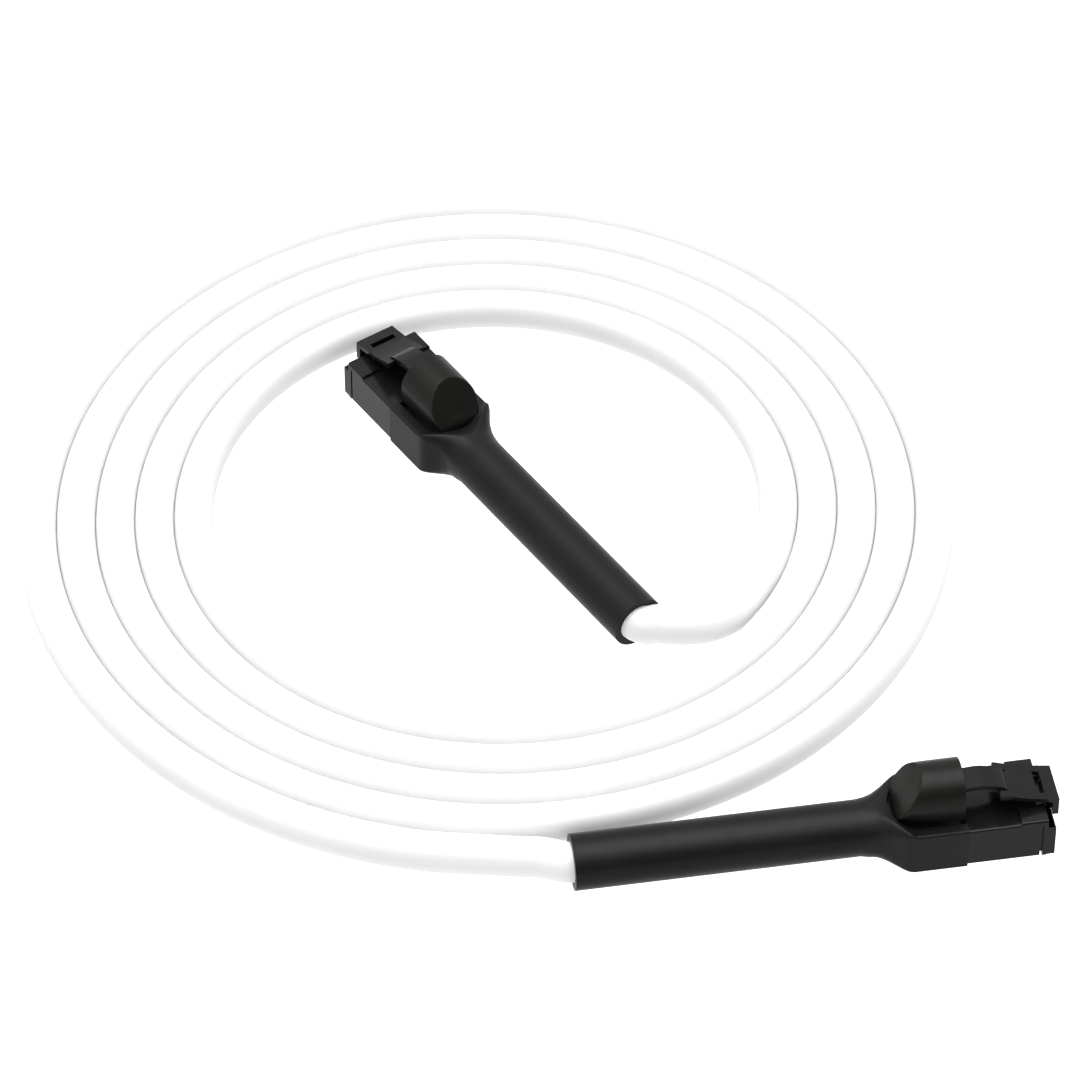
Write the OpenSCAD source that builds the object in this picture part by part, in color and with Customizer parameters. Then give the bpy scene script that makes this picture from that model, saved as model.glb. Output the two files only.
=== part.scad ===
// Network patch cable, coiled flat, with a moulded modular plug on each end.
// Units are millimetres, +Z is up, and the floor is z = 0.

/* [Cable] */
// Outside diameter of the cable jacket
cable_d = 5.5; // [5:0.1:6]
// Radius of the innermost cable centreline at the start of the first turn
coil_start_r = 39.5; // [36:0.1:44]
// Number of turns in the flat coil
coil_turns = 4.8; // [3.8:1:5.8]

/* [Plug] */
// Width of the plug body
plug_w = 11.68; // [11.5:0.02:11.8]
// Height of the plug's deck over its underside
plug_h = 6.4; // [6.2:0.1:6.7]
// Length of plug standing out of the boot
plug_nose_len = 11.7; // [11:0.1:12.5]
// Spacing of the contact blades
contact_pitch = 1.02; // [1:0.01:1.04]
// Thickness of the latch strip
latch_t = 0.8; // [0.6:0.05:1]

/* [Boot] */
// Outside diameter of the long round sleeve
sleeve_d = 7.7; // [7.4:0.1:8]
// Length of the boot from its mouth to the end of the sleeve
boot_len = 52.5; // [45:0.5:55]
// Length of the boxy head of the boot
head_len = 7.6; // [7:0.1:8.5]
// Radius of the rounded top of the thumb hood
hood_r = 4; // [3.8:0.05:4.2]
// Wall thickness of the thumb hood
hood_wall = 0.9; // [0.8:0.05:1.1]

/* [Hidden] */
$fn = 48;

// Coil centre on the floor, and the two plugs: mouth of the boot and heading.
coil_c = [-4, 3];
plug_a_at = [-14.3, 22.4];
plug_a_turn = 124.9;
plug_b_at = [58.25, -56.75];
plug_b_turn = 9.2;

// Spiral centreline: phi counts degrees from +X, and the last turn ends nearest -Y.
phi0 = 270 - 360 * (coil_turns - floor(coil_turns));
phi1 = phi0 + 360 * coil_turns;
function spiral_r(p) = coil_start_r + cable_d * (p - phi0) / 360;
function spiral(p, off = 0) = coil_c + (spiral_r(p) + off) * [cos(p), sin(p)];

// Plug colours
black = [0.10, 0.10, 0.105];
white = [0.93, 0.93, 0.94];
gold = [0.83, 0.66, 0.28];
copper = [0.72, 0.45, 0.25];

// Heights in the plug's own frame: x runs to the nose, z up from the floor.
under_z = 0.6;
deck_z = under_z + plug_h;
axis_z = sleeve_d / 2;
half_w = plug_w / 2;
wire_z = 2.35;
bundle_z = 3.2;
latch_pivot = [11.3, 6.15];
hood_pivot = [-7, 7.3];
hood_z = 9.65;
hood_foot = 7.45;
hood_lean = 0.55;

module at_a() { translate([plug_a_at[0], plug_a_at[1], 0]) rotate([0, 0, plug_a_turn]) children(); }
module at_b() { translate([plug_b_at[0], plug_b_at[1], 0]) rotate([0, 0, plug_b_turn]) children(); }

// Box given by its lower and upper corners.
module box(a, b) { translate(a) cube(b - a); }
// Round bar along x.
module xcyl(x0, x1, r, y = 0, z = 0, f = 48) {
  translate([x0, y, z]) rotate([0, 90, 0]) cylinder(h = x1 - x0, r = r, $fn = f);
}
// Round bar across the plug.
module ycyl(y0, y1, r, x, z, f = 48) {
  translate([x, y1, z]) rotate([90, 0, 0]) cylinder(h = y1 - y0, r = r, $fn = f);
}
// Side outline (x, z) stretched across the plug.
module side(pts, w) { translate([0, w / 2, 0]) rotate([90, 0, 0]) linear_extrude(w) polygon(pts); }

// ---------- plug body ----------
module housing() {
  difference() {
    union() {
      // nose block up to the groove, and the rim in front of it
      box([0, -half_w, under_z], [9.9, half_w, deck_z]);
      box([9.8, -half_w + 0.3, under_z + 0.2], [10.3, half_w - 0.3, deck_z]);
      side([[10.2, under_z - 0.15], [11.3, under_z - 0.15], [plug_nose_len, under_z + 0.3],
            [plug_nose_len, 5.6], [10.85, 5.6], [10.85, deck_z + 0.2], [10.2, deck_z + 0.2]], plug_w);
      // low pad across the deck behind the nose
      box([7.15, -half_w, deck_z - 0.1], [10.3, half_w, deck_z + 0.2]);
      // slimmer tail held inside the boot
      box([-7.4, -4.9, 0.9], [0.1, 4.9, 5.5]);
      box([-9.7, -3.9, 1.1], [-7.3, 3.9, 5.3]);
    }
    // cable entry, wire chamber and wedge window
    box([-9.8, -3.3, 1.35], [-2.4, 3.3, 5.05]);
    box([-2.5, -4.3, 1.55], [4.6, 4.3, 4.6]);
    box([-6.2, -2.6, 0.8], [-4.2, 2.6, 1.4]);
    // one blind channel and one blade slot for each wire
    for (i = [0:7]) {
      y = (i - 3.5) * contact_pitch;
      xcyl(4.5, 11, 0.4, y, wire_z, 24);
      box([6.2, y - 0.2, under_z - 0.5], [12, y + 0.2, wire_z + 0.7]);
    }
    // slots that open the nose's lower edge over the blades
    for (i = [0:7]) {
      y = (i - 3.5) * contact_pitch;
      box([10.1, y - 0.3, under_z - 0.5], [12, y + 0.3, 1.5]);
    }
  }
}

// ---------- latch ----------
function latch_top(x) = 8.2 + (12.77 - x) * 0.264;
module latch() {
  t = latch_t;
  difference() {
    union() {
      // wide front strip with the lip hanging in front of the nose
      side([[12.8, 5.4], [12.77, latch_top(12.77)], [5, latch_top(5)], [5.15, latch_top(5) - t],
            [12.0, latch_top(12) - t - 0.1], [12.0, 5.4]], 6.16);
      // narrow tail that rises behind the shoulders and levels off
      side([[6.6, latch_top(6.6)], [5.6, 10.35], [4.7, 10.8], [3.4, 11.1], [1.8, 11.15], [-3.4, 11.15],
            [-3.4, 11.15 - t], [1.8, 11.15 - t], [3.3, 10.25], [4.6, 9.85], [5.6, 9.4], [6.6, latch_top(6.6) - t]], 3.7);
      // root lying in the notch of the nose
      ycyl(-3.08, 3.08, 0.45, latch_pivot[0], latch_pivot[1]);
      box([latch_pivot[0], -3.08, latch_pivot[1] - 0.3], [12.4, 3.08, latch_pivot[1] + 0.3]);
    }
    // window through the strip
    box([10.03, -1.97, 7], [11.02, 1.97, 9.5]);
  }
}

// ---------- contacts ----------
module contacts() {
  for (i = [0:7])
    translate([0, (i - 3.5) * contact_pitch, 0])
      side([[6.7, 1.5], [7.2, 1.15], [10.1, 1.15], [10.6, 1.5], [10.6, 1.9], [9.9, 1.95], [9.6, 2.6],
            [9.3, 1.95], [8.1, 1.95], [7.8, 2.6], [7.5, 1.95], [6.7, 1.9]], 0.32);
}

// ---------- wire comb and cable grip ----------
module load_bar() {
  difference() {
    box([-0.4, -4.2, 1.62], [4.4, 4.2, 3.1]);
    for (i = [0:7]) xcyl(-1, 5, 0.37, (i - 3.5) * contact_pitch, wire_z, 24);
  }
}
module grip_wedge() {
  side([[-6.2, 1.0], [-4.25, 1.0], [-4.5, 1.3], [-6.15, 1.42]], 5.1);
}

// ---------- wires ----------
// Resting place of each wire in the round cable, then its place in the comb.
bundle_y = [-1.42, -1.42, -0.48, -0.48, 0.48, 0.48, 1.42, 1.42];
function b_up(i) = i % 2 == 0 ? -0.6 : 0.6;
function wire_path(i, x0, x1) = let (y0 = bundle_y[i], y1 = (i - 3.5) * contact_pitch, dz = b_up(i)) [
  [x0, y0, axis_z + dz], [-12.4, y0, axis_z + dz], [-9.9, y0, bundle_z + dz], [-4.4, y0, bundle_z + dz],
  [-0.6, y1, wire_z], [x1, y1, wire_z]];
module pair(i, j) {
  for (k = [i, j]) tube(wire_path(k, -boot_len + 2, 10.8), 0.33, 10, 0.2);
}
module cores() { for (i = [0:7]) tube(wire_path(i, -boot_len + 2, 10.8), 0.18, 8); }

// ---------- jacket inside the boot ----------
// Rings of the jacket: x, height of its middle, half width, half height.
jacket_rings = [[-boot_len, axis_z, cable_d / 2, cable_d / 2], [-12.4, axis_z, cable_d / 2, cable_d / 2],
  [-9.9, bundle_z, 3.15, 1.82], [-4.5, bundle_z, 3.15, 1.82]];
module jacket_end() {
  m = 28;
  n = len(jacket_rings);
  wall = 0.6;
  pts = [for (w = [0, wall], r = jacket_rings, k = [0:m - 1])
           [r[0], (r[2] - w) * cos(360 * (k + 0.5) / m), r[1] + (r[3] - w) * sin(360 * (k + 0.5) / m)]];
  o = n * m;
  skin = [for (i = [0:n - 2], k = [0:m - 1]) [i * m + k, (i + 1) * m + k, (i + 1) * m + (k + 1) % m, i * m + (k + 1) % m]];
  e = (n - 1) * m;
  polyhedron(points = pts, faces = concat([for (f = skin) [f[3], f[2], f[1], f[0]]], [for (f = skin) [for (v = f) o + v]],
    [for (k = [0:m - 1]) [o + k, o + (k + 1) % m, (k + 1) % m, k]],
    [for (k = [0:m - 1]) [e + k, e + (k + 1) % m, o + e + (k + 1) % m, o + e + k]]), convexity = 6);
}

// ---------- boot ----------
// The neck between the sleeve and the head, as half width, top height and
// corner radius about the sleeve's axis, each against x.
neck_w = [[-13.9, 3.8], [-12.9, 3.92], [-11.7, 4.1], [-10.5, 4.42], [-9.4, 4.92], [-8.5, 5.42], [-7.85, 5.75], [-7.2, 5.88]];
neck_top = [[-13.9, 7.65], [-12, 7.72], [-10.2, 7.78], [-8.8, 7.6], [-7.7, 7.02], [-7.2, 7]];
neck_r = [[-13.9, 3.8], [-13.2, 3.9], [-12.4, 4.2], [-11.7, 4.6], [-10.9, 5.2], [-10, 5.85], [-9, 6.4], [-8, 7], [-7.2, 7.4]];
module boot() {
  hw = half_w + 0.08;
  difference() {
    union() {
      box([-head_len, -hw, 0.02], [0, hw, deck_z]);
      intersection() {
        translate([0, 0, axis_z]) rotate([0, 90, 0]) rotate([0, 0, 90])
          rotate_extrude($fn = 72) polygon(concat([[0, neck_r[0][0]]], [for (q = neck_r) [q[1], q[0]]], [[0, neck_r[8][0]]]));
        translate([0, 0, 0.04]) linear_extrude(9) polygon(concat(neck_w, [for (i = [7:-1:0]) [neck_w[i][0], -neck_w[i][1]]]));
        side(concat(neck_top, [[-7.2, -1], [-13.9, -1]]), 14);
      }
      xcyl(-boot_len, -13, axis_z, 0, axis_z, 72);
    }
    // trim the flare level with the head's deck over its front part
    box([-7.9, -7, deck_z], [0.1, 7, 9]);
    // recess around the thumb hood's rear skirt
    translate([0, 0, 6.2]) linear_extrude(3) polygon(both(well_plan));
    // pocket for the plug's tail, well under the hood, and the cable bore
    box([-7.45, -4.95, 0.85], [1, 4.95, 5.55]);
    box([-9.8, -3.95, 1.05], [-7.4, 3.95, 5.35]);
    box([-6.1, -4.35, 5.2], [1, 4.35, 8]);
    ycyl(-1.6, 1.6, 0.56, hood_pivot[0], hood_pivot[1]);
    xcyl(-12.7, -9.7, 3.3, 0, axis_z);
    xcyl(-boot_len - 1, -12.6, cable_d / 2 + 0.1, 0, axis_z);
  }
}

// ---------- thumb hood ----------
// Outlines of the hood and of the well around it, as (x, y) of one side.
hood_plan = [[1, 4], [-5, 4], [-7, 3.85], [-8.2, 3.45], [-9, 2.75], [-9.5, 1.7]];
well_plan = [[1, 4.45], [-5, 4.45], [-7.4, 4.2], [-8.8, 3.5], [-9.6, 2.4], [-9.9, 1.4]];
function both(p) = concat(p, [for (i = [len(p) - 1:-1:0]) [p[i][0], -p[i][1]]]);
module hood_form(r, foot, x0, x1) {
  xcyl(x0, x1, r, 0, hood_z, 64);
  box([x0, -r, foot], [x1, r, hood_z]);
}
// Everything in front of the leaning rear plane, shifted forward by s.
module ahead(s) {
  side([[-7.6 + s - hood_lean * 6, hood_z - 6], [-7.6 + s + hood_lean * 6, hood_z + 6], [8, hood_z + 6], [8, hood_z - 6]], 20);
}
module thumb_hood() {
  difference() {
    intersection() { hood_form(hood_r, 6.6, -9.7, -0.15); ahead(0); 
      linear_extrude(14) polygon(both(hood_plan));
      side([[-9.8, 6.7], [-8.1, 6.7], [-7.6, hood_foot], [1, hood_foot], [1, 14], [-9.8, 14]], 10); }
    intersection() { hood_form(hood_r - hood_wall, 5, -9.2, 3); ahead(1.1); }
  }
  // rib that bears on the latch tail, and the web down to the hinge root
  box([-1.1, -2.4, 11.27], [-0.25, 2.4, 12.6]);
  side([[-6.8, 7.2], [-6.4, 7.3], [-5.7, 12], [-6, 12], [-7.2, 7.4]], 2.8);
  ycyl(-1.4, 1.4, 0.5, hood_pivot[0], hood_pivot[1]);
}

// ---------- cable ----------
module coil() {
  n = 96;
  step = 360 / n;
  outer = [for (i = [0:n - 1]) spiral(phi1 - 360 + i * step, cable_d / 2)];
  inner = [for (i = [0:n - 1]) spiral(phi0 + i * step, -cable_d / 2)];
  difference() {
    linear_extrude(cable_d) polygon(concat(outer, [spiral(phi1, cable_d / 2)]));
    translate([0, 0, -1]) linear_extrude(cable_d + 2) polygon(concat(inner, [spiral(phi0 + 360, -cable_d / 2)]));
  }
}

// Smooth curve through hand-set points (Catmull-Rom), swept with a round section.
function cr(a, b, c, d, t) = 0.5 * ((2 * b) + (c - a) * t + (2 * a - 5 * b + 4 * c - d) * t * t + (3 * b - a - 3 * c + d) * t * t * t);
function curve(p, m) = [for (i = [1:len(p) - 3], k = [0:m - 1]) cr(p[i - 1], p[i], p[i + 1], p[i + 2], k / m), p[len(p) - 2]];
function unit(v) = v / norm(v);
// Tube along the points c: outer radius r, and inner radius ri where it is hollow.
module tube(c, r, sides, ri = 0) {
  n = len(c);
  m = sides;
  tan_v = [for (i = [0:n - 1]) unit(c[min(i + 1, n - 1)] - c[max(i - 1, 0)])];
  pts = [for (q = ri > 0 ? [r, ri] : [r], i = [0:n - 1]) let (t = tan_v[i], s = unit(cross([0, 0, 1], t)), u = cross(t, s))
           for (k = [0:m - 1]) c[i] + q * (cos(360 * (k + 0.5) / m) * s + sin(360 * (k + 0.5) / m) * u)];
  o = n * m;
  wall = [for (i = [0:n - 2], k = [0:m - 1]) [i * m + k, (i + 1) * m + k, (i + 1) * m + (k + 1) % m, i * m + (k + 1) % m]];
  faces = ri > 0
    ? concat(wall, [for (f = wall) [o + f[3], o + f[2], o + f[1], o + f[0]]],
        [for (k = [0:m - 1]) [k, (k + 1) % m, o + (k + 1) % m, o + k]],
        [for (k = [0:m - 1]) let (e = (n - 1) * m) [e + (k + 1) % m, e + k, o + e + k, o + e + (k + 1) % m]])
    : concat([[for (k = [0:m - 1]) k]], wall, [[for (k = [m - 1:-1:0]) (n - 1) * m + k]]);
  polyhedron(points = pts, faces = faces, convexity = 6);
}

// Route points of the two loose ends, from the coil to the sleeve, relative to the coil centre.
lead_a_pts = [[34.1, -18.9, 2.75], [31.6, -21.7, 2.9], [28.8, -23.2, 3.1], [25.8, -23.8, 3.4], [22.7, -23.8, 3.65]];
lead_b_pts = [[3, -66.2, 2.85], [6.5, -66.7, 3.2]];
function on_floor(p) = [coil_c[0] + p[0], coil_c[1] + p[1], p[2]];
function spiral3(p) = [spiral(p)[0], spiral(p)[1], cable_d / 2];
function back(at, turn, l) = [at[0] - l * cos(turn), at[1] - l * sin(turn), axis_z];
module lead_a() {
  p = concat([spiral3(phi0 + 8), spiral3(phi0)], [for (q = lead_a_pts) on_floor(q)],
             [back(plug_a_at, plug_a_turn, boot_len), back(plug_a_at, plug_a_turn, boot_len - 3)]);
  tube(curve(p, 3), cable_d / 2, 12);
}
module lead_b() {
  p = concat([spiral3(phi1 - 5), spiral3(phi1)], [for (q = lead_b_pts) on_floor(q)],
             [back(plug_b_at, plug_b_turn, boot_len), back(plug_b_at, plug_b_turn, boot_len - 4)]);
  tube(curve(p, 3), cable_d / 2, 12);
}

// ---------- the sub-parts ----------
module cable_coil() { color(white) coil(); }
module cable_lead_a() { color(white) lead_a(); }
module cable_lead_b() { color(white) lead_b(); }
module plug_a_housing() { color(black) at_a() housing(); }
module plug_a_latch() { color(black) at_a() latch(); }
module plug_a_contacts() { color(gold) at_a() contacts(); }
module plug_a_load_bar() { color([0.8, 0.82, 0.84]) at_a() load_bar(); }
module plug_a_grip_wedge() { color(black) at_a() grip_wedge(); }
module plug_a_boot() { color(black) at_a() boot(); }
module plug_a_thumb_hood() { color(black) at_a() thumb_hood(); }
module plug_a_jacket_end() { color(white) at_a() jacket_end(); }
module plug_a_pair_orange() { color([0.93, 0.45, 0.12]) at_a() pair(0, 1); }
module plug_a_pair_green() { color([0.16, 0.55, 0.25]) at_a() pair(2, 5); }
module plug_a_pair_blue() { color([0.13, 0.30, 0.68]) at_a() pair(3, 4); }
module plug_a_pair_brown() { color([0.42, 0.26, 0.15]) at_a() pair(6, 7); }
module plug_a_cores() { color(copper) at_a() cores(); }
module plug_b_housing() { color(black) at_b() housing(); }
module plug_b_latch() { color(black) at_b() latch(); }
module plug_b_contacts() { color(gold) at_b() contacts(); }
module plug_b_load_bar() { color([0.8, 0.82, 0.84]) at_b() load_bar(); }
module plug_b_grip_wedge() { color(black) at_b() grip_wedge(); }
module plug_b_boot() { color(black) at_b() boot(); }
module plug_b_thumb_hood() { color(black) at_b() thumb_hood(); }
module plug_b_jacket_end() { color(white) at_b() jacket_end(); }
module plug_b_pair_orange() { color([0.93, 0.45, 0.12]) at_b() pair(0, 1); }
module plug_b_pair_green() { color([0.16, 0.55, 0.25]) at_b() pair(2, 5); }
module plug_b_pair_blue() { color([0.13, 0.30, 0.68]) at_b() pair(3, 4); }
module plug_b_pair_brown() { color([0.42, 0.26, 0.15]) at_b() pair(6, 7); }
module plug_b_cores() { color(copper) at_b() cores(); }

cable_coil();
cable_lead_a();
cable_lead_b();
plug_a_housing();
plug_a_latch();
plug_a_contacts();
plug_a_load_bar();
plug_a_grip_wedge();
plug_a_boot();
plug_a_thumb_hood();
plug_a_jacket_end();
plug_a_pair_orange();
plug_a_pair_green();
plug_a_pair_blue();
plug_a_pair_brown();
plug_a_cores();
plug_b_housing();
plug_b_latch();
plug_b_contacts();
plug_b_load_bar();
plug_b_grip_wedge();
plug_b_boot();
plug_b_thumb_hood();
plug_b_jacket_end();
plug_b_pair_orange();
plug_b_pair_green();
plug_b_pair_blue();
plug_b_pair_brown();
plug_b_cores();
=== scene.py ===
import bpy, bmesh, math
from mathutils import Vector, Matrix


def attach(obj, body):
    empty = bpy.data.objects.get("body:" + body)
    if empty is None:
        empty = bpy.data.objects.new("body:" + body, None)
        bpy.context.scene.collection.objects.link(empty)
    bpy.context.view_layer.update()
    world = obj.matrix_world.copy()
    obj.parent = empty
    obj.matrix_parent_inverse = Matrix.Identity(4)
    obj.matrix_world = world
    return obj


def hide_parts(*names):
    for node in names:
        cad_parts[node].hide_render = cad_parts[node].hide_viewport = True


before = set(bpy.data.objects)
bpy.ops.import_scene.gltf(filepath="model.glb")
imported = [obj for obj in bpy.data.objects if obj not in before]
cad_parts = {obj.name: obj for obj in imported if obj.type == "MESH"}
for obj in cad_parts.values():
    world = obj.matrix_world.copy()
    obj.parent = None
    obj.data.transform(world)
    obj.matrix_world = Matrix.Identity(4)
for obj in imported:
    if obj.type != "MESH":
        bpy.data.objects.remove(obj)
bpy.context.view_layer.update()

MM = 0.001
scene = bpy.context.scene
coll = scene.collection

# ---------------------------------------------------------------- camera
cam_data = bpy.data.cameras.new("camera")
cam_data.lens = 199.51
cam_data.sensor_width = 36.0
cam_data.sensor_fit = "HORIZONTAL"
cam_data.clip_start = 0.01
cam_data.clip_end = 20.0
cam = bpy.data.objects.new("camera", cam_data)
cam.location = (0.00242, -0.59829, 0.59764)
cam.rotation_euler = (math.radians(44.994), 0.0, 0.0)
coll.objects.link(cam)
scene.camera = cam

# ---------------------------------------------------------------- layout, as in the part's source, in mm
CABLE_D = 5.5
START_R = 39.5
TURNS = 4.8
COIL_C = (-4.0, 3.0)
PLUGS = {"a": ((-14.3, 22.4), 124.9), "b": ((58.25, -56.75), 9.2)}
BOOT_LEN = 52.5
SLEEVE_R = 3.85
AXIS_Z = 3.85
PHI0 = 270 - 360 * (TURNS - math.floor(TURNS))
PHI1 = PHI0 + 360 * TURNS


def spiral(p, off=0.0):
    r = START_R + CABLE_D * (p - PHI0) / 360 + off
    return Vector((COIL_C[0] + r * math.cos(math.radians(p)), COIL_C[1] + r * math.sin(math.radians(p)), CABLE_D / 2))


def plug_matrix(k):
    at, turn = PLUGS[k]
    return Matrix.Translation((at[0] * MM, at[1] * MM, 0)) @ Matrix.Rotation(math.radians(turn), 4, "Z") @ Matrix.Diagonal((MM, MM, MM, 1))


def on_axis(k, x):
    at, turn = PLUGS[k]
    t = math.radians(turn)
    return Vector((at[0] + x * math.cos(t), at[1] + x * math.sin(t), AXIS_Z))


def catmull(p, m):
    out = []
    for i in range(1, len(p) - 2):
        a, b, c, d = p[i - 1], p[i], p[i + 1], p[i + 2]
        for k in range(m):
            t = k / m
            out.append(0.5 * ((2 * b) + (c - a) * t + (2 * a - 5 * b + 4 * c - d) * t * t + (3 * b - a - 3 * c + d) * t * t * t))
    out.append(p[-2])
    return out


# Route of the whole cable: from inside boot A, round the coil, to inside boot B.
LEAD_A = [(34.1, -18.9, 2.75), (31.6, -21.7, 2.9), (28.8, -23.2, 3.1), (25.8, -23.8, 3.4), (22.7, -23.8, 3.65)]
LEAD_B = [(3.0, -66.2, 2.85), (6.5, -66.7, 3.2)]


def route():
    pts = [on_axis("a", x) for x in (-13.0, -20.0, -30.0, -40.0, -47.0, -BOOT_LEN)]
    pts += [Vector((COIL_C[0] + x, COIL_C[1] + y, z)) for x, y, z in reversed(LEAD_A)]
    n = int(round((PHI1 - PHI0) / 9.0))
    pts += [spiral(PHI0 + (PHI1 - PHI0) * i / n) for i in range(n + 1)]
    pts += [Vector((COIL_C[0] + x, COIL_C[1] + y, z)) for x, y, z in LEAD_B]
    pts += [on_axis("b", x) for x in (-BOOT_LEN, -47.0, -40.0, -30.0, -20.0, -13.0)]
    return pts


ROUTE = route()
FINE = catmull([ROUTE[0] * 2 - ROUTE[1]] + ROUTE + [ROUTE[-1] * 2 - ROUTE[-2]], 6)


# ---------------------------------------------------------------- materials
class Nodes:
    """Small helper for building a material's node tree."""

    def __init__(self, name):
        self.mat = bpy.data.materials.new(name)
        self.mat.use_nodes = True
        self.t = self.mat.node_tree
        self.t.nodes.clear()
        self.out = self.n("ShaderNodeOutputMaterial")
        self.bsdf = self.n("ShaderNodeBsdfPrincipled")
        self.t.links.new(self.bsdf.outputs[0], self.out.inputs[0])

    def n(self, kind, **kw):
        node = self.t.nodes.new(kind)
        for k, v in kw.items():
            setattr(node, k, v)
        return node

    def link(self, a, b):
        self.t.links.new(a, b)

    def set(self, **kw):
        names = {"rough": "Roughness", "spec": "Specular IOR Level", "coat": "Coat Weight", "coat_rough": "Coat Roughness",
                 "metal": "Metallic", "sheen": "Sheen Weight", "sheen_rough": "Sheen Roughness", "sss": "Subsurface Weight", "sss_scale": "Subsurface Scale", "ior": "IOR",
                 "transmission": "Transmission Weight"}
        for k, v in kw.items():
            if k == "color":
                self.bsdf.inputs["Base Color"].default_value = (*v, 1)
            else:
                self.bsdf.inputs[names[k]].default_value = v

    def coords(self, scale=1.0):
        c = self.n("ShaderNodeTexCoord")
        m = self.n("ShaderNodeMapping")
        m.inputs["Scale"].default_value = (scale, scale, scale)
        self.link(c.outputs["Object"], m.inputs["Vector"])
        return m.outputs["Vector"]

    def noise(self, vec, scale, detail=3.0, rough=0.5):
        x = self.n("ShaderNodeTexNoise")
        x.inputs["Scale"].default_value = scale
        x.inputs["Detail"].default_value = detail
        x.inputs["Roughness"].default_value = rough
        self.link(vec, x.inputs["Vector"])
        return x.outputs["Fac"]

    def ramp(self, fac, stops):
        r = self.n("ShaderNodeValToRGB")
        e = r.color_ramp.elements
        e[0].position, e[0].color = stops[0][0], (*stops[0][1], 1)
        e[1].position, e[1].color = stops[-1][0], (*stops[-1][1], 1)
        for p, c in stops[1:-1]:
            q = e.new(p)
            q.color = (*c, 1)
        self.link(fac, r.inputs["Fac"])
        return r.outputs["Color"]

    def remap(self, fac, lo, hi, a=0.0, b=1.0):
        m = self.n("ShaderNodeMapRange")
        m.inputs["From Min"].default_value = a
        m.inputs["From Max"].default_value = b
        m.inputs["To Min"].default_value = lo
        m.inputs["To Max"].default_value = hi
        self.link(fac, m.inputs["Value"])
        return m.outputs["Result"]

    def bump(self, heights, normal=None):
        prev = normal
        for h, strength, dist in heights:
            b = self.n("ShaderNodeBump")
            b.inputs["Strength"].default_value = strength
            b.inputs["Distance"].default_value = dist
            self.link(h, b.inputs["Height"])
            if prev is not None:
                self.link(prev, b.inputs["Normal"])
            prev = b.outputs["Normal"]
        self.link(prev, self.bsdf.inputs["Normal"])


def moulded(name, dark, light, rough, spec, grain=5200.0, grain_bump=0.12, flow_bump=0.05):
    """Moulded plastic: slight tone mottling, a fine spark-eroded grain, broad flow waves and a varying gloss."""
    m = Nodes(name)
    v = m.coords()
    broad = m.noise(v, 160.0, 2.0)
    fine = m.noise(v, grain, 2.0)
    mid = m.noise(v, 900.0, 4.0)
    m.link(m.ramp(broad, [(0.3, dark), (0.7, light)]), m.bsdf.inputs["Base Color"])
    m.link(m.remap(mid, rough[0], rough[1], 0.3, 0.7), m.bsdf.inputs["Roughness"])
    m.set(spec=spec)
    m.bump([(broad, flow_bump, 0.0004), (fine, grain_bump, 0.00003)])
    return m.mat


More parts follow.
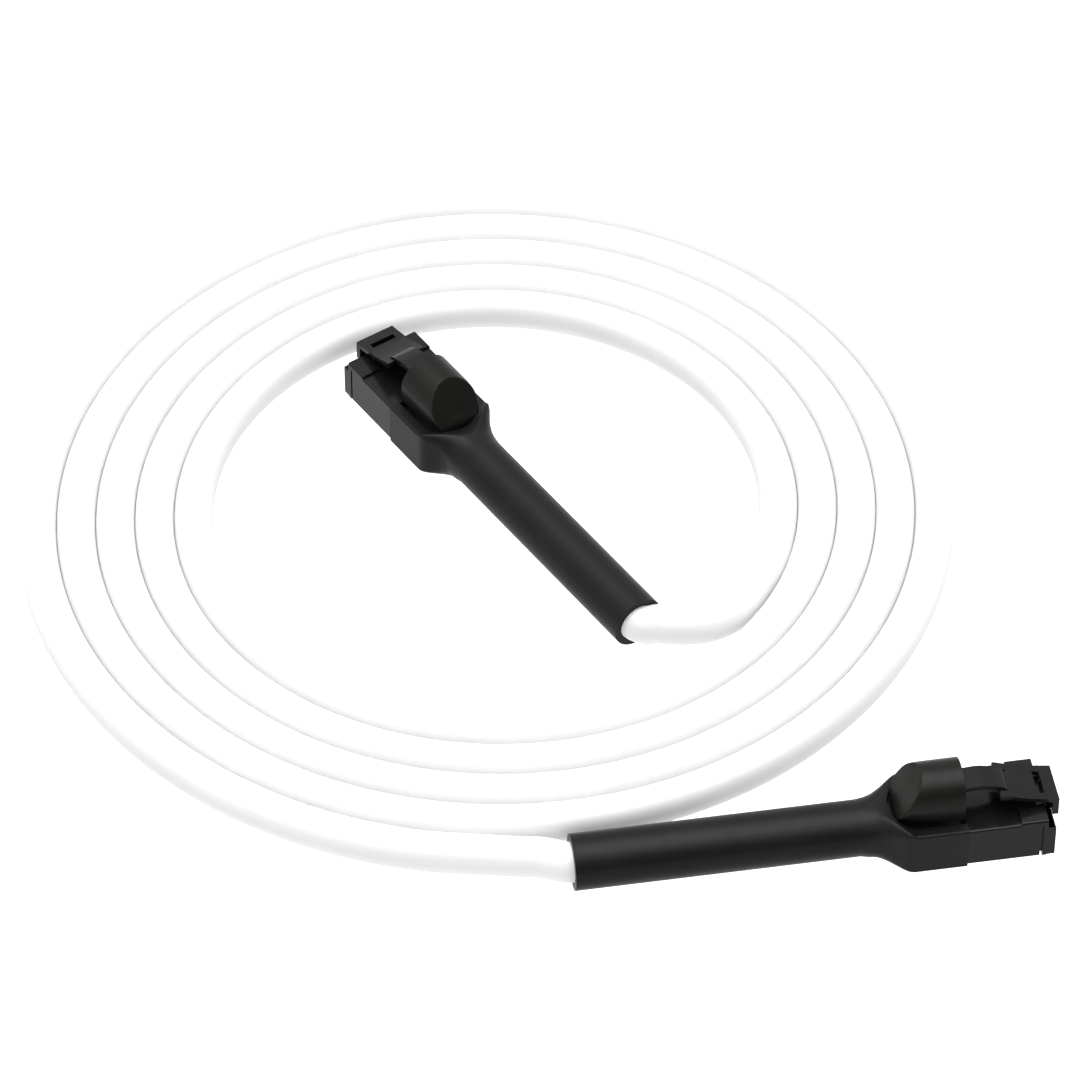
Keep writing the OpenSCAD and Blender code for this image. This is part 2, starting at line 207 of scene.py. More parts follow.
def make_materials():
    M = {}
    # cable jacket: satin PVC, with a faint extrusion grain
    m = Nodes("jacket")
    v = m.coords()
    fine = m.noise(v, 2600.0, 3.0)
    broad = m.noise(v, 70.0, 2.0)
    m.link(m.ramp(broad, [(0.35, (0.655, 0.655, 0.661)), (0.65, (0.676, 0.676, 0.678))]), m.bsdf.inputs["Base Color"])
    m.link(m.remap(fine, 0.42, 0.52, 0.3, 0.7), m.bsdf.inputs["Roughness"])
    m.set(spec=0.5)
    m.bump([(fine, 0.10, 0.00004)])
    M["jacket"] = m.mat
    M["boot"] = moulded("boot", (0.0048, 0.0048, 0.0049), (0.0062, 0.0062, 0.0063), (0.34, 0.41), 0.132)
    # the hood's base colour carries a faint yellow-olive cast: painted light, standing in for the olive light that
    # falls on the hood, while the boot and the body stay neutral black
    M["hood"] = moulded("hood", (0.0052, 0.0052, 0.0045), (0.0066, 0.0066, 0.0057), (0.29, 0.35), 0.13)
    M["body"] = moulded("body", (0.0052, 0.0052, 0.0053), (0.0068, 0.0068, 0.0069), (0.13, 0.19), 0.17, 3800.0, 0.006, 0.012)
    M["latch"] = moulded("latch", (0.0052, 0.0052, 0.0052), (0.0068, 0.0068, 0.0068), (0.17, 0.23), 0.168, 3800.0, 0.006, 0.012)

    # gold-plated contact blades: rolled sheet with faint shearing lines
    m = Nodes("contact_gold")
    v = m.coords()
    broad = m.noise(v, 300.0, 2.0)
    c = m.n("ShaderNodeMapping")
    c.inputs["Scale"].default_value = (1.0, 1.0, 7.0)
    m.link(v, c.inputs["Vector"])
    lines = m.noise(c.outputs["Vector"], 2600.0, 3.0)
    m.link(m.ramp(broad, [(0.3, (0.78, 0.53, 0.20)), (0.7, (0.86, 0.62, 0.27))]), m.bsdf.inputs["Base Color"])
    m.link(m.remap(lines, 0.20, 0.34, 0.3, 0.7), m.bsdf.inputs["Roughness"])
    m.set(metal=1.0)
    m.bump([(lines, 0.10, 0.00002)])
    M["contact_gold"] = m.mat

    # load bar and strain wedge: milky polycarbonate
    m = Nodes("comb_plastic")
    v = m.coords()
    broad = m.noise(v, 260.0, 3.0)
    fine = m.noise(v, 3800.0, 2.0)
    m.link(m.ramp(broad, [(0.3, (0.62, 0.64, 0.65)), (0.7, (0.74, 0.76, 0.77))]), m.bsdf.inputs["Base Color"])
    m.link(m.remap(fine, 0.26, 0.38, 0.3, 0.7), m.bsdf.inputs["Roughness"])
    m.set(spec=0.5, sss=0.15, sss_scale=0.001)
    m.bump([(broad, 0.08, 0.0003), (fine, 0.05, 0.00003)])
    M["comb_plastic"] = m.mat

    # insulation of the pairs: extruded polyethylene, a little uneven in tone
    def insulation(name, dark, light):
        m = Nodes(name)
        v = m.coords()
        broad = m.noise(v, 420.0, 2.0)
        fine = m.noise(v, 5200.0, 2.0)
        m.link(m.ramp(broad, [(0.3, dark), (0.7, light)]), m.bsdf.inputs["Base Color"])
        m.link(m.remap(fine, 0.34, 0.46, 0.3, 0.7), m.bsdf.inputs["Roughness"])
        m.set(spec=0.45)
        m.bump([(fine, 0.06, 0.00002)])
        return m.mat

    M["wire_orange"] = insulation("wire_orange", (0.72, 0.20, 0.02), (0.82, 0.27, 0.04))
    M["wire_green"] = insulation("wire_green", (0.02, 0.26, 0.06), (0.04, 0.34, 0.09))
    M["wire_blue"] = insulation("wire_blue", (0.02, 0.08, 0.42), (0.04, 0.12, 0.52))
    M["wire_brown"] = insulation("wire_brown", (0.14, 0.055, 0.02), (0.20, 0.08, 0.03))

    # drawn copper strands
    m = Nodes("copper_core")
    v = m.coords()
    broad = m.noise(v, 500.0, 2.0)
    fine = m.noise(v, 4200.0, 3.0)
    m.link(m.ramp(broad, [(0.3, (0.72, 0.33, 0.17)), (0.7, (0.84, 0.44, 0.26))]), m.bsdf.inputs["Base Color"])
    m.link(m.remap(fine, 0.22, 0.36, 0.3, 0.7), m.bsdf.inputs["Roughness"])
    m.set(metal=1.0)
    m.bump([(fine, 0.08, 0.00002)])
    M["copper_core"] = m.mat
    return M


MAT = make_materials()

# what stays of the CAD takes its finish by its piece name
KEPT = {"contacts": "contact_gold", "load_bar": "comb_plastic", "grip_wedge": "comb_plastic", "pair_orange": "wire_orange", "pair_green": "wire_green",
        "pair_blue": "wire_blue", "pair_brown": "wire_brown", "cores": "copper_core"}
for node_name, node_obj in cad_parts.items():
    for tail_name, mat_name in KEPT.items():
        if node_name.endswith(tail_name):
            for ms in node_obj.material_slots:
                ms.material = MAT[mat_name]


# ---------------------------------------------------------------- mesh helpers
def mesh_object(name, verts, faces, mat=None, smooth=True):
    me = bpy.data.meshes.new(name)
    me.from_pydata([tuple(v) for v in verts], [], faces)
    me.update()
    ob = bpy.data.objects.new(name, me)
    coll.objects.link(ob)
    if mat is not None:
        me.materials.append(mat)
    if smooth:
        me.polygons.foreach_set("use_smooth", [True] * len(me.polygons))
    return ob


def tube_mesh(points, r, sides, up=Vector((0, 0, 1))):
    """Rings and faces of a round tube along points; returns verts, faces."""
    verts, faces = [], []
    n = len(points)
    for i, c in enumerate(points):
        t = (points[min(i + 1, n - 1)] - points[max(i - 1, 0)]).normalized()
        s = up.cross(t).normalized()
        u = t.cross(s)
        for k in range(sides):
            a = 2 * math.pi * k / sides
            verts.append(c + r * (math.cos(a) * s + math.sin(a) * u))
    for i in range(n - 1):
        for k in range(sides):
            faces.append((i * sides + k, i * sides + (k + 1) % sides, (i + 1) * sides + (k + 1) % sides, (i + 1) * sides + k))
    faces.append(tuple(range(sides - 1, -1, -1)))
    faces.append(tuple((n - 1) * sides + k for k in range(sides)))
    return verts, faces


# ---------------------------------------------------------------- cable
vs, fs = tube_mesh([p * MM for p in FINE], CABLE_D / 2 * MM, 32)
cable = mesh_object("cable", vs, fs, MAT["jacket"])
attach(cable, "cable_and_plugs")
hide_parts("cable_coil", "cable_lead_a", "cable_lead_b", "plug_a_jacket_end", "plug_b_jacket_end")

# ---------------------------------------------------------------- solid helpers, in the plug's own frame and in mm
def raw(name, verts, faces):
    me = bpy.data.meshes.new(name)
    me.from_pydata([tuple(v) for v in verts], [], faces)
    me.update()
    ob = bpy.data.objects.new(name, me)
    coll.objects.link(ob)
    return ob


def recalc(ob):
    bm = bmesh.new()
    bm.from_mesh(ob.data)
    bmesh.ops.recalc_face_normals(bm, faces=bm.faces)
    bm.to_mesh(ob.data)
    bm.free()
    return ob


def block(a, b):
    (x0, y0, z0), (x1, y1, z1) = a, b
    v = [(x0, y0, z0), (x1, y0, z0), (x1, y1, z0), (x0, y1, z0), (x0, y0, z1), (x1, y0, z1), (x1, y1, z1), (x0, y1, z1)]
    return raw("tmp", v, [(0, 3, 2, 1), (4, 5, 6, 7), (0, 1, 5, 4), (1, 2, 6, 5), (2, 3, 7, 6), (3, 0, 4, 7)])


def prism(outline, lo, hi, axis):
    """Closed outline of 2-D points, stretched along an axis: "y" takes (x, z) points, "z" takes (x, y) points."""
    n = len(outline)
    put = (lambda p, t: (p[0], t, p[1])) if axis == "y" else (lambda p, t: (p[0], p[1], t))
    v = [put(p, lo) for p in outline] + [put(p, hi) for p in outline]
    f = [tuple(range(n)), tuple(range(2 * n - 1, n - 1, -1))] + [(i, n + i, n + (i + 1) % n, (i + 1) % n) for i in range(n)]
    return recalc(raw("tmp", v, f))


def rod(a, b, r, sides=40):
    a, b = Vector(a), Vector(b)
    t = (b - a).normalized()
    s = t.orthogonal().normalized()
    u = t.cross(s)
    v = [p + r * (math.cos(2 * math.pi * k / sides) * s + math.sin(2 * math.pi * k / sides) * u) for p in (a, b) for k in range(sides)]
    f = [tuple(range(sides - 1, -1, -1)), tuple(range(sides, 2 * sides))]
    f += [(k, (k + 1) % sides, sides + (k + 1) % sides, sides + k) for k in range(sides)]
    return recalc(raw("tmp", v, f))


def loft(rings, closed=True, caps=True):
    """Skin through rings of equal point counts."""
    m = len(rings[0])
    v = [p for r in rings for p in r]
    f = []
    for i in range(len(rings) - 1):
        for k in range(m if closed else m - 1):
            f.append((i * m + k, i * m + (k + 1) % m, (i + 1) * m + (k + 1) % m, (i + 1) * m + k))
    if caps:
        f.append(tuple(range(m - 1, -1, -1)))
        f.append(tuple((len(rings) - 1) * m + k for k in range(m)))
    return recalc(raw("tmp", v, f))


def bake(ob):
    """Applies every modifier of ob to its mesh."""
    dg = bpy.context.evaluated_depsgraph_get()
    me = bpy.data.meshes.new_from_object(ob.evaluated_get(dg))
    old = ob.data
    ob.modifiers.clear()
    ob.data = me
    bpy.data.meshes.remove(old)
    return ob


def carve(ob, steps):
    """Applies ("-" or "+", other) booleans in turn."""
    for op, other in steps:
        m = ob.modifiers.new("b", "BOOLEAN")
        m.operation = {"-": "DIFFERENCE", "+": "UNION", "*": "INTERSECT"}[op]
        m.solver = "EXACT"
        m.object = other
        bake(ob)
        bpy.data.objects.remove(other, do_unlink=True)
    return ob


def soften(ob, width, segments=2, angle=30.0):
    """Rounds the sharp edges and shades the rest smooth."""
    bm = bmesh.new()
    bm.from_mesh(ob.data)
    bmesh.ops.remove_doubles(bm, verts=bm.verts, dist=0.004)
    bmesh.ops.dissolve_degenerate(bm, dist=0.002, edges=bm.edges)
    bmesh.ops.dissolve_limit(bm, angle_limit=math.radians(0.6), verts=bm.verts, edges=bm.edges)
    bm.to_mesh(ob.data)
    bm.free()
    m = ob.modifiers.new("v", "BEVEL")
    m.width = width
    m.segments = segments
    m.limit_method = "ANGLE"
    m.angle_limit = math.radians(angle)
    m.use_clamp_overlap = True
    m.harden_normals = False
    m.miter_outer = "MITER_ARC"
    bake(ob)
    finish_shading(ob)
    return ob


def finish_shading(ob, angle=50.0):
    me = ob.data
    me.polygons.foreach_set("use_smooth", [True] * len(me.polygons))
    me.set_sharp_from_angle(angle=math.radians(angle))
    m = ob.modifiers.new("w", "WEIGHTED_NORMAL")
    m.keep_sharp = True
    m.weight = 80
    m.mode = "FACE_AREA"
    bake(ob)


def join(obs):
    """Joins meshes into the first one."""
    base = obs[0]
    bm = bmesh.new()
    for o in obs:
        bm.from_mesh(o.data)
    for o in obs[1:]:
        bpy.data.objects.remove(o, do_unlink=True)
    bm.to_mesh(base.data)
    bm.free()
    return base


def place(ob, k, name, mat, body, nodes):
    ob.data.transform(plug_matrix(k))
    ob.data.update()
    ob.name = name
    ob.data.name = name
    ob.data.materials.clear()
    ob.data.materials.append(mat)
    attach(ob, body)
    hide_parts(*nodes)
    return ob


def smooth_table(table, x):
    """Monotone cubic through (x, value) rows."""
    xs = [r[0] for r in table]
    ys = [r[1] for r in table]
    if x <= xs[0]:
        return ys[0]
    if x >= xs[-1]:
        return ys[-1]
    n = len(xs)
    d = [(ys[i + 1] - ys[i]) / (xs[i + 1] - xs[i]) for i in range(n - 1)]
    m = [d[0]] + [0.0 if d[i - 1] * d[i] <= 0 else 2 * d[i - 1] * d[i] / (d[i - 1] + d[i]) for i in range(1, n - 1)] + [d[-1]]
    i = max(j for j in range(n - 1) if xs[j] <= x)
    h = xs[i + 1] - xs[i]
    t = (x - xs[i]) / h
    return (ys[i] * (1 + 2 * t) * (1 - t) ** 2 + m[i] * h * t * (1 - t) ** 2 + ys[i + 1] * t * t * (3 - 2 * t) + m[i + 1] * h * t * t * (t - 1))


# ---------------------------------------------------------------- boot
# half width, top height, top and bottom corner radius against x
BOOT_W = [(-13.9, 3.85), (-13.0, 3.87), (-11.7, 3.96), (-10.5, 4.28), (-9.37, 4.9), (-8.23, 5.66), (-7.62, 5.87), (-7.1, 5.92)]
BOOT_T = [(-13.9, 7.7), (-12.4, 7.72), (-11.2, 7.8), (-10.2, 7.84), (-9.2, 7.8), (-8.2, 7.68), (-7.6, 7.6), (-7.0, 7.6)]
BOOT_CT = [(-13.9, 3.85), (-13.0, 3.66), (-11.7, 3.12), (-10.5, 2.3), (-9.37, 1.58), (-8.23, 1.03), (-7.62, 0.62), (-7.1, 0.36)]
BOOT_CB = [(-13.9, 3.85), (-13.0, 3.45), (-11.7, 3.1), (-10.5, 2.3), (-9.37, 1.5), (-8.23, 0.93), (-7.62, 0.6), (-7.1, 0.4)]


def ray_angles():
    out = {round(a * 5.0, 3) for a in range(72)}
    a = 23.0
    while a <= 64.0:
        step = 0.4 if 24.5 <= a <= 32.5 else 1.0
        out.update((round(a, 3), round(180 - a, 3)))
        a += step
    for d in (-3, -2.2, -1.5, -0.9, -0.4, 0.0, 0.4, 0.9, 1.5, 2.2, 3):
        out.update((round(360 - 33.0 + d, 3), round(213.0 + d, 3)))
    return sorted(out)


RAYS = ray_angles()


def deck_surface(x, y):
    """Height that the boot's top is cut to: level deck, then the slope that rises behind it."""
    y = abs(y)
    d = -1e9
    for (ax, ay), (bx, by) in zip(DECK_IN, DECK_IN[1:]):
        # distance beyond the outline, measured outwards from each edge
        ex, ey = bx - ax, by - ay
        ln = math.hypot(ex, ey)
        nx, ny = ey / ln, -ex / ln
        if nx > 0 or ny < 0:
            nx, ny = -nx, -ny
        d = max(d, (x - ax) * nx + (y - ay) * ny)
    # steeper at the sides than behind
    side = min(1.0, max(0.0, y / 5.2))
    slope = 0.30 + 0.42 * side * side
    e = 0.12
    ramp = 0.5 * (d + math.sqrt(d * d + e * e)) if d > -3 else 0.0
    return 7.0 + slope * ramp


def section(x, w, zb, zt, ct, cb):
    """Rounded rectangle met by rays from the sleeve's axis, with its top cut to the deck."""
    out = []
    zc = AXIS_Z
    for a in RAYS:
        dy, dz = math.cos(math.radians(a)), math.sin(math.radians(a))
        c, edge = (ct, zt) if dz >= 0 else (cb, zb)
        t1 = w / abs(dy) if abs(dy) > 1e-9 else 1e9
        t2 = (edge - zc) / dz if abs(dz) > 1e-9 else 1e9
        t = min(t1, t2)
        y, z = abs(t * dy), t * dz
        cy, cz = w - c, (abs(edge - zc) - c)
        if y > cy and abs(z) > cz and c > 1e-6:
            ay, az = abs(dy), abs(dz)
            B = ay * cy + az * cz
            q = B * B - (cy * cy + cz * cz - c * c)
            t = B + math.sqrt(max(q, 0.0))
        if dz > 0.05 and x > -13.5:
            # where the deck cuts the outline the edge is rounded
            k = 0.36
            lo, hi = 0.0, t
            for _ in range(26):
                mid = (lo + hi) / 2
                f1 = (t - mid) * max(abs(dy), 0.35)
                f2 = deck_surface(x, mid * dy) - zc - mid * dz
                g = min(f1, f2) if f1 >= k or f2 >= k else k - math.hypot(k - f1, k - f2)
                if g < 0:
                    hi = mid
                else:
                    lo = mid
            t = hi
        out.append((t * dy, zc + t * dz))
    return out


WELL = [(1.0, 4.26), (-5.0, 4.26), (-6.4, 4.22), (-7.5, 4.02), (-8.4, 3.55), (-9.05, 2.8), (-9.5, 1.95), (-9.78, 1.0), (-9.85, 0.0)]
# end of the deck at its own height, and the crease above it
DECK_IN = [(-6.75, 7.2), (-6.95, 6.1), (-7.13, 5.56), (-7.45, 5.1), (-7.85, 4.55), (-8.3, 3.7), (-8.85, 2.75), (-9.3, 1.8), (-9.6, 0.9), (-9.7, 0.0)]


def well_floor(x):
    """The well's floor leaves room for the hood's feet, which go down most at the front."""
    return max(5.62, min(6.45, 7.15 - 0.2345 * (x + 7)))


def mirrored(half):
    return half + [(x, -y) for x, y in reversed(half) if y > 1e-6]


def resample(pts, m):
    """Smooth curve through 2-D points, m per gap."""
    p = [Vector(q) for q in pts]
    return [tuple(v) for v in catmull([p[0] * 2 - p[1]] + p + [p[-1] * 2 - p[-2]], m)]


def make_boot(k):
    xs = [-BOOT_LEN, -50, -45, -40, -35, -30, -25, -20, -16, -14.4, -13.9]
    x = -13.6
    while x < -6.6:
        xs.append(round(x, 3))
        x += 0.14
    xs += [-6.3, -5.5, -4, -2, -0.5, 0.09]
    rings = []
    for x in xs:
        r = section(x, smooth_table(BOOT_W, x), 0.0, smooth_table(BOOT_T, x), smooth_table(BOOT_CT, x), smooth_table(BOOT_CB, x))
        rings.append([(x, y, z) for y, z in r])
    boot = loft(rings)
    half = WELL[:1] + [(-1.0, 4.26), (-3.0, 4.26)] + resample(WELL[1:], 5)
    plan = mirrored(half)
    levels = [(-0.42, 0.0, None), (-0.12, 0.03, None), (-0.03, 0.12, None), (0.0, 0.3, None), (0.0, None, -0.17), (0.03, None, -0.07), (0.11, None, 0.0), (0.3, None, 0.14), (0.3, 2.6, None)]
    rings = []
    for grow, above, rel in levels:
        ring = []
        for i, (x, y) in enumerate(plan):
            a, b = plan[i - 1], plan[(i + 1) % len(plan)]
            dx, dy = b[0] - a[0], b[1] - a[1]
            ln = math.hypot(dx, dy) or 1.0
            nx, ny = -dy / ln, dx / ln
            if x > -4.0:
                nx, ny = 0.0, math.copysign(1.0, y)
            elif nx * (x + 4.0) + ny * y < 0:
                nx, ny = -nx, -ny
            px, py = x + nx * grow, y + ny * grow
            z = deck_surface(px, py) + rel if rel is not None else well_floor(px) + above
            ring.append((px, py, z))
        rings.append(ring)
    well = loft(rings)
    mouth = block((-7.45, -4.95, 0.85), (1, 4.95, 5.55))
    tail = block((-9.8, -3.95, 1.05), (-7.4, 3.95, 5.35))
    bore1 = rod((-12.7, 0, AXIS_Z), (-9.7, 0, AXIS_Z), 3.3)
    bore2 = rod((-BOOT_LEN - 1, 0, AXIS_Z), (-12.6, 0, AXIS_Z), CABLE_D / 2 + 0.12, 48)
    carve(boot, [("-", well), ("-", mouth), ("-", tail), ("-", bore1), ("-", bore2)])
    bm = bmesh.new()
    bm.from_mesh(boot.data)
    bmesh.ops.remove_doubles(bm, verts=bm.verts, dist=0.002)
    bmesh.ops.dissolve_degenerate(bm, dist=0.001, edges=bm.edges)
    bm.to_mesh(boot.data)
    bm.free()
    finish_shading(boot, 38.0)
    place(boot, k, f"plug_{k}_boot_moulded", MAT["boot"], "cable_and_plugs", [f"plug_{k}_boot"])


# ---------------------------------------------------------------- thumb hood
HOOD_TOP = 9.65
CAP_X = [(6.3, -9.36), (7.5, -9.18), (8.5, -8.8), (10.0, -8.0), (12.0, -6.78), (13.7, -5.52)]


def cap_x(z):
    return smooth_table(CAP_X, z)


def hood_columns():
    """Front point, rear point and fullness of each line along the hood, from one foot over the top to the other."""
    cols = []
    for i in range(13):
        t = i / 12
        z0 = 7.35 + (HOOD_TOP - 7.35) * t
        y0 = 3.95 + 0.05 * t
        a = math.radians(90 * (1 - t) ** 0.9)
        cols.append(((y0, z0), (3.56 * math.cos(a), 10.2 - 3.5 * math.sin(a)), 2.3 + 1.7 * t))
    for i in range(1, 19):
        t = i / 18
        a = math.radians(90 * t)
        cols.append(((4 * math.cos(a), HOOD_TOP + 4 * math.sin(a)), (3.56 * math.cos(a), 10.2 + 3.42 * math.sin(a)), 4.0 + 1.2 * t))
    half = cols
    return half + [((-a[0], a[1]), (-b[0], b[1]), n) for a, b, n in reversed(half[:-1])]


def make_hood(k):
    cols = hood_columns()
    front_x = -0.15
    steps = [0.0, 0.02, 0.06, 0.14, 0.25, 0.36, 0.47, 0.56, 0.64, 0.71, 0.77, 0.82, 0.86, 0.895, 0.925, 0.95, 0.97, 0.985, 0.995, 1.0]

    def skin(inset):
        """Barrel and leaning end, drawn in by inset all round."""
        rings = []
        f = 1 - inset / 4.0
        for v in steps:
            ring = []
            for (y0, z0), (y1, z1), n in cols:
                x1 = cap_x(z1) + inset * 1.1
                b = 1 - (1 - v ** n) ** (1 / n) if v < 1 else 1.0
                x = front_x + (x1 - front_x) * v
                y, z = y0 + (y1 - y0) * b, z0 + (z1 - z0) * b
                if inset:
                    y, z = y * f, z if z < 8.4 else 8.4 + (z - 8.4) * (1 - inset / 5.2)
                ring.append((x, y, z))
            rings.append(ring)
        cz = 10.1
        last = rings[-1]
        for g in (0.975, 0.93, 0.75, 0.45, 0.15):
            ring = []
            for (x, y, z) in last:
                zz = cz + (z - cz) * g
                ring.append((cap_x(zz) + inset * 1.1, y * g, zz))
            rings.append(ring)
        return rings

    m = len(cols)
    outer, inner = skin(0.0), skin(0.9)
    verts = [p for r in outer for p in r] + [p for r in inner for p in r]
    h = len(outer) * m
    faces = []
    for o, flip in ((0, False), (h, True)):
        for i in range(len(outer) - 1):
            for j in range(m - 1):
                q = (o + i * m + j, o + i * m + j + 1, o + (i + 1) * m + j + 1, o + (i + 1) * m + j)
                faces.append(q[::-1] if flip else q)
            # the loops close underneath once they are on the end
            if i >= len(steps) - 1:
                q = (o + i * m + m - 1, o + i * m, o + (i + 1) * m, o + (i + 1) * m + m - 1)
                faces.append(q[::-1] if flip else q)
        c = tuple(o + (len(outer) - 1) * m + j for j in range(m))
        faces.append(c if flip else c[::-1])
    for j in range(m - 1):
        faces.append((j + 1, j, h + j, h + j + 1))
    for j, flip in ((0, False), (m - 1, True)):
        for i in range(len(steps) - 1):
            q = (i * m + j, (i + 1) * m + j, h + (i + 1) * m + j, h + i * m + j)
            faces.append(q[::-1] if flip else q)
    i = len(steps) - 1
    faces.append((i * m, i * m + m - 1, h + i * m + m - 1, h + i * m))
    shell = raw("tmp", verts, faces)
    bm = bmesh.new()
    bm.from_mesh(shell.data)
    bmesh.ops.remove_doubles(bm, verts=bm.verts, dist=0.01)
    bmesh.ops.recalc_face_normals(bm, faces=bm.faces)
    bm.to_mesh(shell.data)
    bm.free()
    v = shell.modifiers.new("v", "BEVEL")
    v.width = 0.12
    v.segments = 3
    v.limit_method = "ANGLE"
    v.angle_limit = math.radians(35)
    bake(shell)
    finish_shading(shell, 60)
    rib = block((-1.1, -2.3, 11.27), (-0.35, 2.3, 12.5))
    web = prism([(-6.8, 7.2), (-6.4, 7.3), (-5.75, 12.0), (-6.05, 12.0), (-7.2, 7.4)], -1.4, 1.4, "y")
    knuckle = rod((-7, -1.4, 7.3), (-7, 1.4, 7.3), 0.5)
    hood = join([shell, rib, web, knuckle])
    place(hood, k, f"plug_{k}_hood_shell", MAT["hood"], f"plug_{k}_hood_body", [f"plug_{k}_thumb_hood"])


# ---------------------------------------------------------------- latch
PLATE_TOP = [(12.82, 8.24), (12.3, 8.32), (11.0, 8.53), (9.45, 8.79), (9.35, 8.82), (8.4, 9.05), (7.4, 9.36), (6.5, 9.7)]
PLATE_LOW = [(6.5, 9.08), (7.4, 8.72), (8.4, 8.42), (9.35, 8.17), (9.45, 8.14), (11.0, 7.86), (11.9, 7.7), (11.97, 6.6), (12.02, 5.35)]


def make_latch(k):
    # wide plate with the lip hanging from its front edge, and a shoulder at each side of the arm
    plate = prism([(12.83, 5.35)] + PLATE_TOP + [(6.1, 9.82), (4.95, 10.26), (4.74, 10.18), (4.68, 9.4), (4.85, 9.22), (5.9, 9.2)] + PLATE_LOW, -3.08, 3.08, "y")
    window = block((10.03, -1.97, 6.9), (11.02, 1.97, 9.6))
    gap = block((3.9, -1.93, 7.0), (6.5, 1.93, 12.0))
    # narrow arm: a thin ledge behind the plate, curving up and then level
    top = [(6.9, 9.36), (6.56, 9.62), (6.5, 9.72), (6.12, 9.6), (6.05, 9.74), (5.85, 10.06), (5.4, 10.4), (4.88, 10.65), (4.44, 10.82), (3.9, 10.97), (3.37, 11.1), (2.8, 11.23), (2.13, 11.29),
           (1.3, 11.25), (0.41, 11.16), (-1.5, 11.13), (-3.4, 11.15)]
    low = [(-3.4, 10.4), (-1.5, 10.38), (0.41, 10.42), (1.3, 10.5), (2.13, 10.54), (2.8, 10.49), (3.37, 10.36), (4.44, 10.08), (5.4, 9.62), (5.9, 9.36), (6.5, 9.12), (6.9, 8.98)]
    arm = prism(top + low, -1.87, 1.87, "y")
    carve(plate, [("-", window), ("-", gap), ("+", arm)])
    soften(plate, 0.09, 3, 38.0)
    # root in the notch of the nose
    bar = rod((11.3, -2.35, 6.15), (11.3, 2.35, 6.15), 0.45)
    web = block((11.3, -2.35, 5.87), (12.3, 2.35, 6.43))
    latch = join([plate, bar, web])
    place(latch, k, f"plug_{k}_latch_arm", MAT["latch"], f"plug_{k}_latch_body", [f"plug_{k}_latch"])


# ---------------------------------------------------------------- plug body
PITCH = 1.02


def slab(x0, x1, w, z0, z1, rt, rb, m=5):
    """Block along x, its section rounded by rt at the top corners and rb at the bottom ones."""
    sec = []
    for cy, cz, r, a0 in ((w - rt, z1 - rt, rt, 0), (rt - w, z1 - rt, rt, 90), (rb - w, z0 + rb, rb, 180), (w - rb, z0 + rb, rb, 270)):
        for i in range(m + 1 if r > 0.01 else 1):
            a = math.radians(a0 + 90 * i / m)
            sec.append((cy + r * math.cos(a), cz + r * math.sin(a)) if r > 0.01 else (cy, cz))
    return loft([[(x, y, z) for y, z in sec] for x in (x0, x1)])


def make_housing(k):
    w = 5.84
    body = slab(0.0, 9.9, w, 0.55, 6.82, 0.36, 0.14)
    neck = slab(9.6, 10.5, w - 0.3, 0.95, 6.5, 0.2, 0.2)
    pad = slab(7.2, 10.6, w - 0.002, 6.2, 7.2, 0.34, 0.0)
    rim = slab(10.26, 10.85, w, 0.45, 7.195, 0.34, 0.14)
    lip = slab(10.3, 11.95, w - 0.004, 0.455, 5.6, 0.14, 0.3)
    carve(body, [("+", neck), ("+", rim), ("+", lip), ("+", pad)])
    soften(body, 0.09, 2, 40.0)
    # pockets beside the latch root, and the block that carries it
    carve(body, [("-", block((10.9, 2.5, 3.5), (11.74, 5.64, 8.0))), ("-", block((10.9, -5.64, 3.5), (11.74, -2.5, 8.0)))])
    cuts = []
    for i in range(8):
        y = (i - 3.5) * PITCH
        cuts.append(block((6.2, y - 0.2, -0.5), (12.5, y + 0.2, 3.05)))
        cuts.append(block((10.1, y - 0.3, -0.5), (12.5, y + 0.3, 1.5)))
    tool = join(cuts)
    m = body.modifiers.new("b", "BOOLEAN")
    m.operation = "DIFFERENCE"
    m.solver = "EXACT"
    m.use_self = True
    m.object = tool
    bake(body)
    bpy.data.objects.remove(tool, do_unlink=True)
    finish_shading(body, 35.0)
    tail = block((-7.4, -4.9, 0.9), (0.1, 4.9, 5.5))
    carve(tail, [("+", block((-9.7, -3.9, 1.1), (-7.3, 3.9, 5.3))), ("-", block((-9.9, -3.3, 1.35), (-2.4, 3.3, 5.05)))])
    seat = block((10.8, -2.2, 5.2), (11.72, 2.2, 5.74))
    housing = join([body, tail, seat])
    place(housing, k, f"plug_{k}_nose_body", MAT["body"], "cable_and_plugs", [f"plug_{k}_housing"])


for k in PLUGS:
    make_boot(k)
    make_hood(k)
    make_latch(k)
    make_housing(k)

# ---------------------------------------------------------------- floor and light
me = bpy.data.meshes.new("floor")
me.from_pydata([(-30, -30, 0), (30, -30, 0), (30, 30, 0), (-30, 30, 0)], [], [(0, 1, 2, 3)])
floor = bpy.data.objects.new("floor", me)
coll.objects.link(floor)
floor.location.z = -0.00005
m = Nodes("floor")
v = m.coords()
m.link(m.remap(m.noise(v, 40.0), 0.85, 0.95), m.bsdf.inputs["Roughness"])
m.set(color=(0.06, 0.06, 0.06), spec=0.0)
m.bsdf.inputs["Emission Color"].default_value = (1, 1, 1, 1)
# white to the eye and to matt surfaces, a little dimmer in reflections
lp = m.n("ShaderNodeLightPath")
m.link(m.remap(lp.outputs["Is Glossy Ray"], 1.5, 1.0), m.bsdf.inputs["Emission Strength"])
m.mat.cycles.emission_sampling = "NONE"
me.materials.append(m.mat)

world = bpy.data.worlds.new("studio")
scene.world = world
world.use_nodes = True
wt = world.node_tree


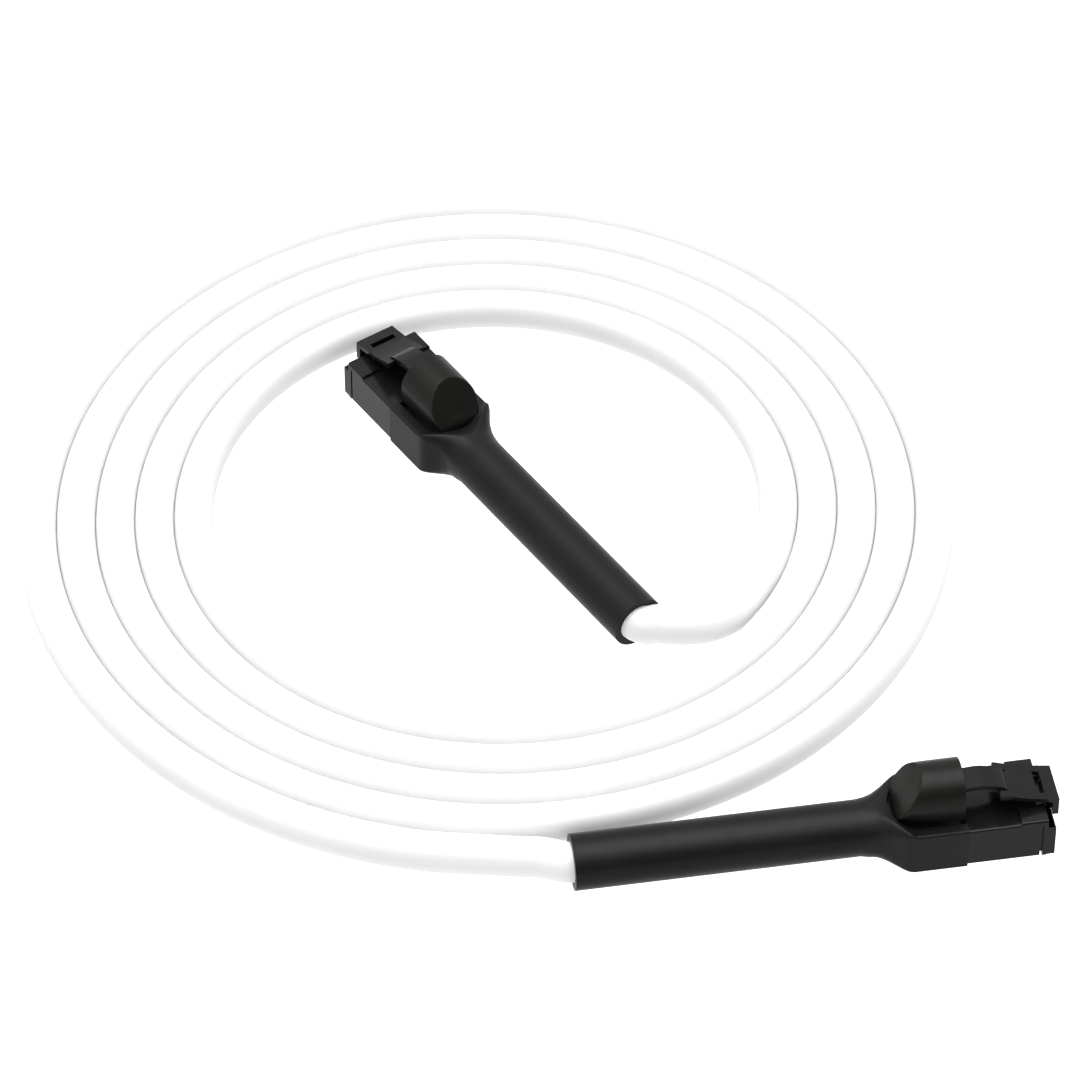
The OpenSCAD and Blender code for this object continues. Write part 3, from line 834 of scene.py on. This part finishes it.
def toward(axis, stops):
    """Brightness of the studio against the angle from an axis: stops are (cosine, value)."""
    c = wt.nodes.new("ShaderNodeTexCoord")
    d = wt.nodes.new("ShaderNodeVectorMath")
    d.operation = "DOT_PRODUCT"
    d.inputs[1].default_value = Vector(axis).normalized()
    wt.links.new(c.outputs["Generated"], d.inputs[0])
    r = wt.nodes.new("ShaderNodeValToRGB")
    e = r.color_ramp.elements
    top = 6.0
    e[0].position, e[0].color = stops[0][0], (stops[0][1] / top,) * 3 + (1,)
    e[1].position, e[1].color = stops[-1][0], (stops[-1][1] / top,) * 3 + (1,)
    for p, v in stops[1:-1]:
        q = e.new(p)
        q.color = (v / top,) * 3 + (1,)
    wt.links.new(d.outputs["Value"], r.inputs["Fac"])
    m = wt.nodes.new("ShaderNodeMath")
    m.operation = "MULTIPLY"
    m.inputs[1].default_value = top
    wt.links.new(r.outputs["Color"], m.inputs[0])
    return m.outputs[0]


def wsum(a, b):
    m = wt.nodes.new("ShaderNodeMath")
    m.operation = "ADD"
    wt.links.new(a, m.inputs[0])
    if isinstance(b, float):
        m.inputs[1].default_value = b
    else:
        wt.links.new(b, m.inputs[1])
    return m.outputs[0]


EXPO = 1.0
over = toward((0.05, -0.04, 1.0), [(0.5, 0.0), (0.6, 0.08), (0.70, 0.28), (0.80, 1.0), (0.875, 2.4), (0.94, 4.0), (0.985, 5.0), (1.0, 5.2)])
back = toward((0.35, 0.8, 0.42), [(0.0, 0.0), (0.3, 0.12), (0.5, 0.3), (0.8, 0.5), (1.0, 0.7)])
left = toward((-0.85, 0.0, 0.5), [(0.0, 0.0), (0.3, 0.12), (0.6, 0.5), (0.85, 1.1), (1.0, 1.3)])
total = wsum(wsum(wsum(over, back), left), 0.2)
mask = toward((-0.83, 0.56, 0.0), [(0.80, 0.0), (0.93, 1.0)])
mix = wt.nodes.new("ShaderNodeMix")
mix.data_type = "RGBA"
wt.links.new(mask, mix.inputs["Factor"])
wt.links.new(total, mix.inputs["A"])
mix.inputs["B"].default_value = (0.42, 0.42, 0.13, 1)
# what gloss sees, and the softer sky that lights matt surfaces
bg = wt.nodes["Background"]
wt.links.new(mix.outputs["Result"], bg.inputs["Color"])
bg.inputs["Strength"].default_value = EXPO
soft = wt.nodes.new("ShaderNodeBackground")
wt.links.new(wsum(toward((0.0, 0.342, 0.94), [(0.75, 0.0), (0.85, 2.0), (0.95, 5.0), (1.0, 6.0)]), 0.8), soft.inputs["Color"])
# anything else sees a plain white room, like the floor
plain = wt.nodes.new("ShaderNodeBackground")
plain.inputs["Color"].default_value = (1, 1, 1, 1)
plain.inputs["Strength"].default_value = 1.5
matt = wt.nodes.new("ShaderNodeMixShader")
pick = wt.nodes.new("ShaderNodeMixShader")
path = wt.nodes.new("ShaderNodeLightPath")
wt.links.new(path.outputs["Is Diffuse Ray"], matt.inputs[0])
wt.links.new(plain.outputs[0], matt.inputs[1])
wt.links.new(soft.outputs[0], matt.inputs[2])
wt.links.new(path.outputs["Is Glossy Ray"], pick.inputs[0])
wt.links.new(matt.outputs[0], pick.inputs[1])
wt.links.new(bg.outputs[0], pick.inputs[2])
wt.links.new(pick.outputs[0], wt.nodes["World Output"].inputs["Surface"])
world.cycles.sampling_method = "NONE"


def area(name, loc, target, size, power, color=(1, 1, 1)):
    d = bpy.data.lights.new(name, "AREA")
    d.shape = "RECTANGLE"
    d.size, d.size_y = size
    d.energy = power
    d.color = color
    o = bpy.data.objects.new(name, d)
    o.location = loc
    o.rotation_euler = (Vector(target) - Vector(loc)).to_track_quat("-Z", "Y").to_euler()
    coll.objects.link(o)
    return o


area("key", (-0.25, 0.35, 1.5), (0, 0, 0), (0.5, 0.5), 1.5)

scene.view_settings.view_transform = "Standard"
scene.view_settings.look = "None"
